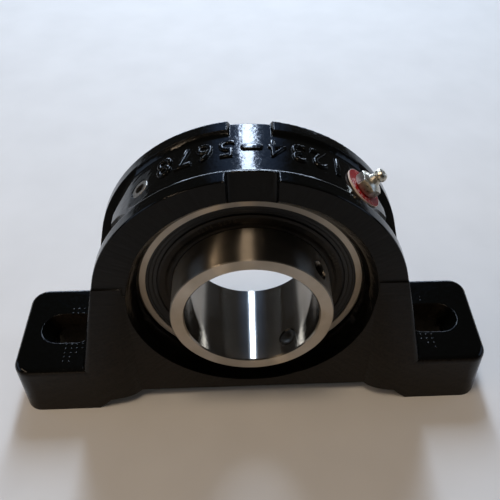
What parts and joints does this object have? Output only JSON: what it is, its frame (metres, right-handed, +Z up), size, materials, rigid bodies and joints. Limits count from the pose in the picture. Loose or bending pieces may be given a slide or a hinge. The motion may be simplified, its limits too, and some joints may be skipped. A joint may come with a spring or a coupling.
{
  "type": "pillow block bearing",
  "caption": "Cast pillow block with slotted feet, a self-aligning ball bearing insert locked by set screws, a grease fitting and a pipe plug.",
  "frame": {"origin": "centre of the bore at the middle of the housing's depth", "axes": "+Z up, +X along the base to the grease fitting's side, +Y towards the back, away from the set screws"},
  "size_m": [0.2382, 0.0582, 0.1423],
  "materials": {
    "black_enamel": "gloss black enamel over rough cast iron",
    "ground_steel": "ground bearing steel",
    "ball_steel": "polished bearing steel",
    "cage_steel": "pressed steel sheet",
    "seal_rubber": "moulded black rubber",
    "flinger_steel": "dark pressed steel",
    "black_oxide": "black oxide steel",
    "plated_brass": "bright plated metal",
    "red_fibre": "printed red disc",
    "plug_steel": "bright steel",
    "pin_steel": "hardened steel",
    "spring_steel": "spring wire"
  },
  "bodies": {
    "block": {"housing": "black_enamel", "fitting_body": "plated_brass", "fitting_spring": "spring_steel", "fitting_washer": "red_fibre", "pipe_plug": "plug_steel"},
    "valve": {"fitting_ball": "ball_steel"},
    "pin": {"locking_pin": "pin_steel"},
    "outer": {"outer_ring": "ground_steel", "seal_front": "seal_rubber", "seal_rear": "seal_rubber"},
    "inner": {"inner_ring": "ground_steel", "flinger_front": "flinger_steel", "flinger_rear": "flinger_steel"},
    "cage": {"cage_front": "cage_steel", "cage_rear": "cage_steel"},
    "ball_01": {"ball_01": "ball_steel"},
    "ball_02": {"ball_02": "ball_steel"},
    "ball_03": {"ball_03": "ball_steel"},
    "ball_04": {"ball_04": "ball_steel"},
    "ball_05": {"ball_05": "ball_steel"},
    "ball_06": {"ball_06": "ball_steel"},
    "ball_07": {"ball_07": "ball_steel"},
    "ball_08": {"ball_08": "ball_steel"},
    "ball_09": {"ball_09": "ball_steel"},
    "ball_10": {"ball_10": "ball_steel"},
    "screw_1": {"setscrew_1": "black_oxide"},
    "screw_2": {"setscrew_2": "black_oxide"}
  },
  "joints": [
    {"name": "insert_pitch", "type": "hinge", "parent": "block", "child": "pin", "pos_m": [0, 0, 0], "axis": [1, 0, 0], "range_deg": [-2, 2]},
    {"name": "insert_yaw", "type": "hinge", "parent": "pin", "child": "outer", "pos_m": [0, 0, 0], "axis": [0, 0, 1], "range_deg": [-2, 2]},
    {"name": "shaft_spin", "type": "hinge", "parent": "outer", "child": "inner", "pos_m": [0, 0, 0], "axis": [0, 1, 0], "continuous": true},
    {"name": "cage_orbit", "type": "hinge", "parent": "outer", "child": "cage", "pos_m": [0, 0, 0], "axis": [0, 1, 0], "continuous": true},
    {"name": "ball_01_spin", "type": "hinge", "parent": "cage", "child": "ball_01", "pos_m": [0, 0, 0.0433], "axis": [0, 1, 0], "continuous": true},
    {"name": "ball_02_spin", "type": "hinge", "parent": "cage", "child": "ball_02", "pos_m": [0.02545, 0, 0.03503], "axis": [0, 1, 0], "continuous": true},
    {"name": "ball_03_spin", "type": "hinge", "parent": "cage", "child": "ball_03", "pos_m": [0.04118, 0, 0.01338], "axis": [0, 1, 0], "continuous": true},
    {"name": "ball_04_spin", "type": "hinge", "parent": "cage", "child": "ball_04", "pos_m": [0.04118, 0, -0.01338], "axis": [0, 1, 0], "continuous": true},
    {"name": "ball_05_spin", "type": "hinge", "parent": "cage", "child": "ball_05", "pos_m": [0.02545, 0, -0.03503], "axis": [0, 1, 0], "continuous": true},
    {"name": "ball_06_spin", "type": "hinge", "parent": "cage", "child": "ball_06", "pos_m": [0, 0, -0.0433], "axis": [0, 1, 0], "continuous": true},
    {"name": "ball_07_spin", "type": "hinge", "parent": "cage", "child": "ball_07", "pos_m": [-0.02545, 0, -0.03503], "axis": [0, 1, 0], "continuous": true},
    {"name": "ball_08_spin", "type": "hinge", "parent": "cage", "child": "ball_08", "pos_m": [-0.04118, 0, -0.01338], "axis": [0, 1, 0], "continuous": true},
    {"name": "ball_09_spin", "type": "hinge", "parent": "cage", "child": "ball_09", "pos_m": [-0.04118, 0, 0.01338], "axis": [0, 1, 0], "continuous": true},
    {"name": "ball_10_spin", "type": "hinge", "parent": "cage", "child": "ball_10", "pos_m": [-0.02545, 0, 0.03503], "axis": [0, 1, 0], "continuous": true},
    {"name": "setscrew_1_travel", "type": "slide", "parent": "inner", "child": "screw_1", "axis": [0.829, 0, 0.5592], "range_m": [-0.003, 0.002]},
    {"name": "setscrew_2_travel", "type": "slide", "parent": "inner", "child": "screw_2", "axis": [0.5592, 0, -0.829], "range_m": [-0.003, 0.002]},
    {"name": "fitting_valve", "type": "slide", "parent": "block", "child": "valve", "axis": [0.7046, 0, 0.7096], "range_m": [-0.001, 0], "stiffness_N_per_m": 300, "springref_m": 0.0004, "deforming": ["fitting_spring"]}
  ],
  "couplings": [
    {"joint": "cage_orbit", "follows": "shaft_spin", "ratio": 0.42209},
    {"joint": "ball_01_spin", "follows": "shaft_spin", "ratio": -3.1309},
    {"joint": "ball_02_spin", "follows": "shaft_spin", "ratio": -3.1309},
    {"joint": "ball_03_spin", "follows": "shaft_spin", "ratio": -3.1309},
    {"joint": "ball_04_spin", "follows": "shaft_spin", "ratio": -3.1309},
    {"joint": "ball_05_spin", "follows": "shaft_spin", "ratio": -3.1309},
    {"joint": "ball_06_spin", "follows": "shaft_spin", "ratio": -3.1309},
    {"joint": "ball_07_spin", "follows": "shaft_spin", "ratio": -3.1309},
    {"joint": "ball_08_spin", "follows": "shaft_spin", "ratio": -3.1309},
    {"joint": "ball_09_spin", "follows": "shaft_spin", "ratio": -3.1309},
    {"joint": "ball_10_spin", "follows": "shaft_spin", "ratio": -3.1309}
  ]
}
